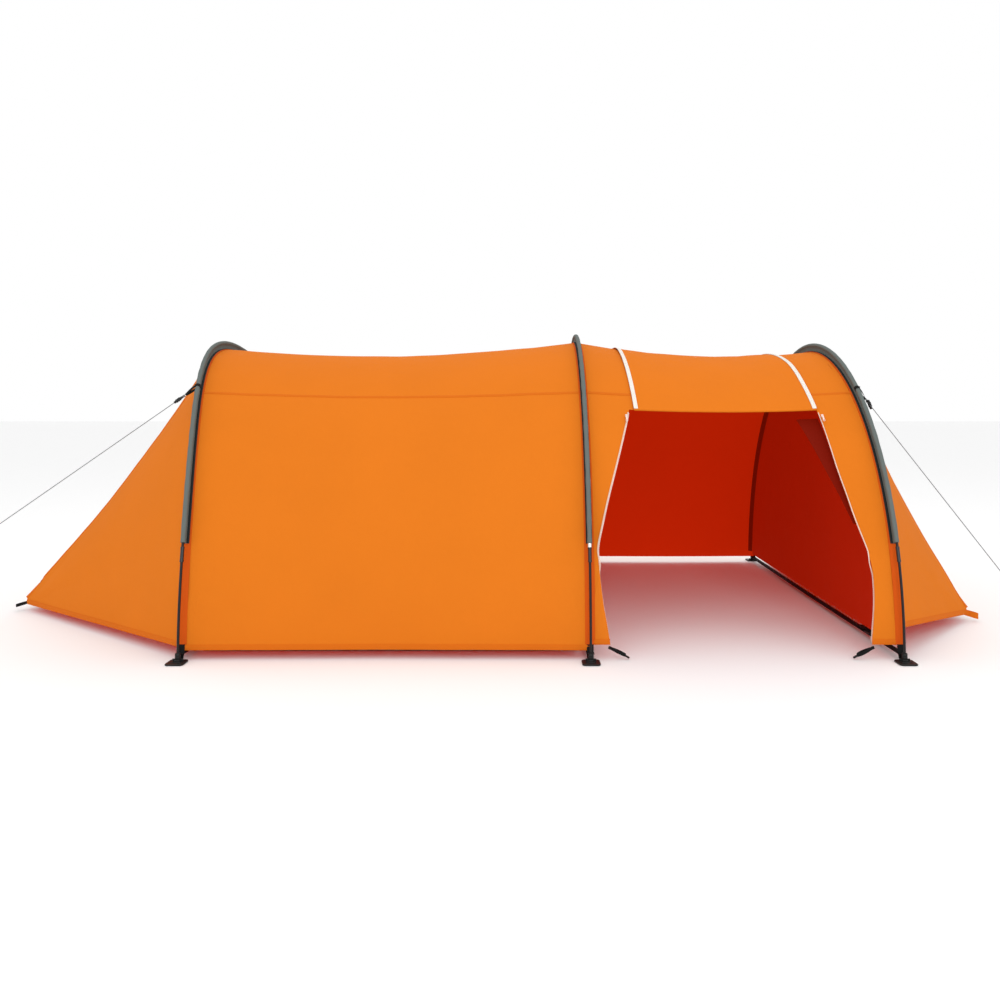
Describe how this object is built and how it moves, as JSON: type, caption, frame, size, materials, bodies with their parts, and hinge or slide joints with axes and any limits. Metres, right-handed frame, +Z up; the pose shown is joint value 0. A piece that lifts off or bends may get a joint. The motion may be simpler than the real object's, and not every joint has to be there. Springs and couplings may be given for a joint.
{
  "type": "tunnel tent",
  "caption": "Pitched tunnel tent on arched poles in outside sleeves, with a pointed apse at each end and a side door thrown back over the porch roof.",
  "frame": {"origin": "middle of the footprint on the ground, under the middle of the overall length", "axes": "+X along the tent from the bedroom end to the porch end, -Y towards the door side, +Z up"},
  "size_m": [3.9439, 2.0153, 1.1221],
  "materials": {
    "fly_fabric": "matt coated polyester taffeta",
    "partition_fabric": "matt coated polyester, backlit red-orange",
    "sleeve_fabric": "matt woven polyester",
    "webbing": "woven polyester webbing",
    "pole": "pultruded fibreglass, satin black",
    "ferrule": "satin",
    "foot_plastic": "moulded, fine grain",
    "zip_tape": "woven tape with coil teeth",
    "zip_slider": "moulded slider and pull",
    "groundsheet": "woven coated polyethylene",
    "guyline": "braided cord"
  },
  "bodies": {
    "tent": {"pole_left": "pole", "sleeve_left": "sleeve_fabric", "ground_strap_left": "webbing", "ferrule_left_near": "ferrule", "foot_left_near": "foot_plastic", "ferrule_left_far": "ferrule", "foot_left_far": "foot_plastic", "pole_middle": "pole", "sleeve_middle": "sleeve_fabric", "ground_strap_middle": "webbing", "ferrule_middle_near": "ferrule", "foot_middle_near": "foot_plastic", "ferrule_middle_far": "ferrule", "foot_middle_far": "foot_plastic", "pole_right": "pole", "sleeve_right": "sleeve_fabric", "ground_strap_right": "webbing", "ferrule_right_near": "ferrule", "foot_right_near": "foot_plastic", "ferrule_right_far": "ferrule", "foot_right_far": "foot_plastic", "bedroom_roof": "fly_fabric", "bedroom_wall_far": "fly_fabric", "bedroom_wall_near": "fly_fabric", "porch_roof": "fly_fabric", "porch_wall_far": "fly_fabric", "porch_jamb_left": "fly_fabric", "porch_jamb_right": "fly_fabric", "apse_left_near": "fly_fabric", "apse_left_end": "fly_fabric", "apse_left_far": "fly_fabric", "apse_right_near": "fly_fabric", "apse_right_end": "fly_fabric", "apse_right_far": "fly_fabric", "bedroom_partition": "partition_fabric", "end_partition": "partition_fabric", "bedroom_floor": "groundsheet", "zip_left": "zip_tape", "zip_right": "zip_tape", "peg_loop_left_near": "webbing", "guy_tab_left_near": "webbing", "peg_loop_left_far": "webbing", "guy_tab_left_far": "webbing", "peg_loop_jamb_left": "webbing", "guyline_left": "guyline", "peg_loop_right_near": "webbing", "guy_tab_right_near": "webbing", "peg_loop_right_far": "webbing", "guy_tab_right_far": "webbing", "peg_loop_jamb_right": "webbing", "guyline_right": "guyline", "strap_buckle": "foot_plastic"},
    "door_1": {"door_strip_1": "fly_fabric"},
    "door_2": {"door_strip_2": "fly_fabric"},
    "door_3": {"door_strip_3": "fly_fabric"},
    "door_4": {"door_strip_4": "fly_fabric"},
    "slider_left": {"zip_slider_left": "zip_slider"},
    "runner_left": {"guy_runner_left": "foot_plastic"},
    "slider_right": {"zip_slider_right": "zip_slider"},
    "runner_right": {"guy_runner_right": "foot_plastic"}
  },
  "joints": [
    {"name": "door_fold", "type": "hinge", "parent": "tent", "child": "door_1", "pos_m": [0.8785, -0.55671, 0.8049], "axis": [1, 0, 0], "range_deg": [0, 194.2]},
    {"name": "door_bend_2", "type": "hinge", "parent": "door_1", "child": "door_2", "pos_m": [0.87238, -0.39011, 0.93376], "axis": [1, 0, 0], "range_deg": [0, 26.5]},
    {"name": "door_bend_3", "type": "hinge", "parent": "door_2", "child": "door_3", "pos_m": [0.86625, -0.20684, 1.01258], "axis": [1, 0, 0], "range_deg": [0, 26.5]},
    {"name": "door_bend_4", "type": "hinge", "parent": "door_3", "child": "door_4", "pos_m": [0.86013, -0.01669, 1.04155], "axis": [1, 0, 0], "range_deg": [0, 26.5]},
    {"name": "zip_left_travel", "type": "hinge", "parent": "tent", "child": "slider_left", "pos_m": [0.50887, 0.32045, 0.02547], "axis": [0.9999, 0.0005, -0.0115], "range_deg": [0, 37]},
    {"name": "zip_right_travel", "type": "hinge", "parent": "tent", "child": "slider_right", "pos_m": [1.19329, 0.26699, 0.02613], "axis": [0.9995, 0.0012, -0.0301], "range_deg": [0, 39]},
    {"name": "runner_left_slide", "type": "slide", "parent": "tent", "child": "runner_left", "axis": [-0.6993, -0.3836, -0.6031], "range_m": [0, 0.35]},
    {"name": "runner_right_slide", "type": "slide", "parent": "tent", "child": "runner_right", "axis": [0.3988, -0.4955, -0.7717], "range_m": [0, 0.35]}
  ],
  "couplings": [
    {"joint": "door_bend_2", "follows": "door_fold", "ratio": 0.1304},
    {"joint": "door_bend_3", "follows": "door_fold", "ratio": 0.1273},
    {"joint": "door_bend_4", "follows": "door_fold", "ratio": 0.1214}
  ]
}
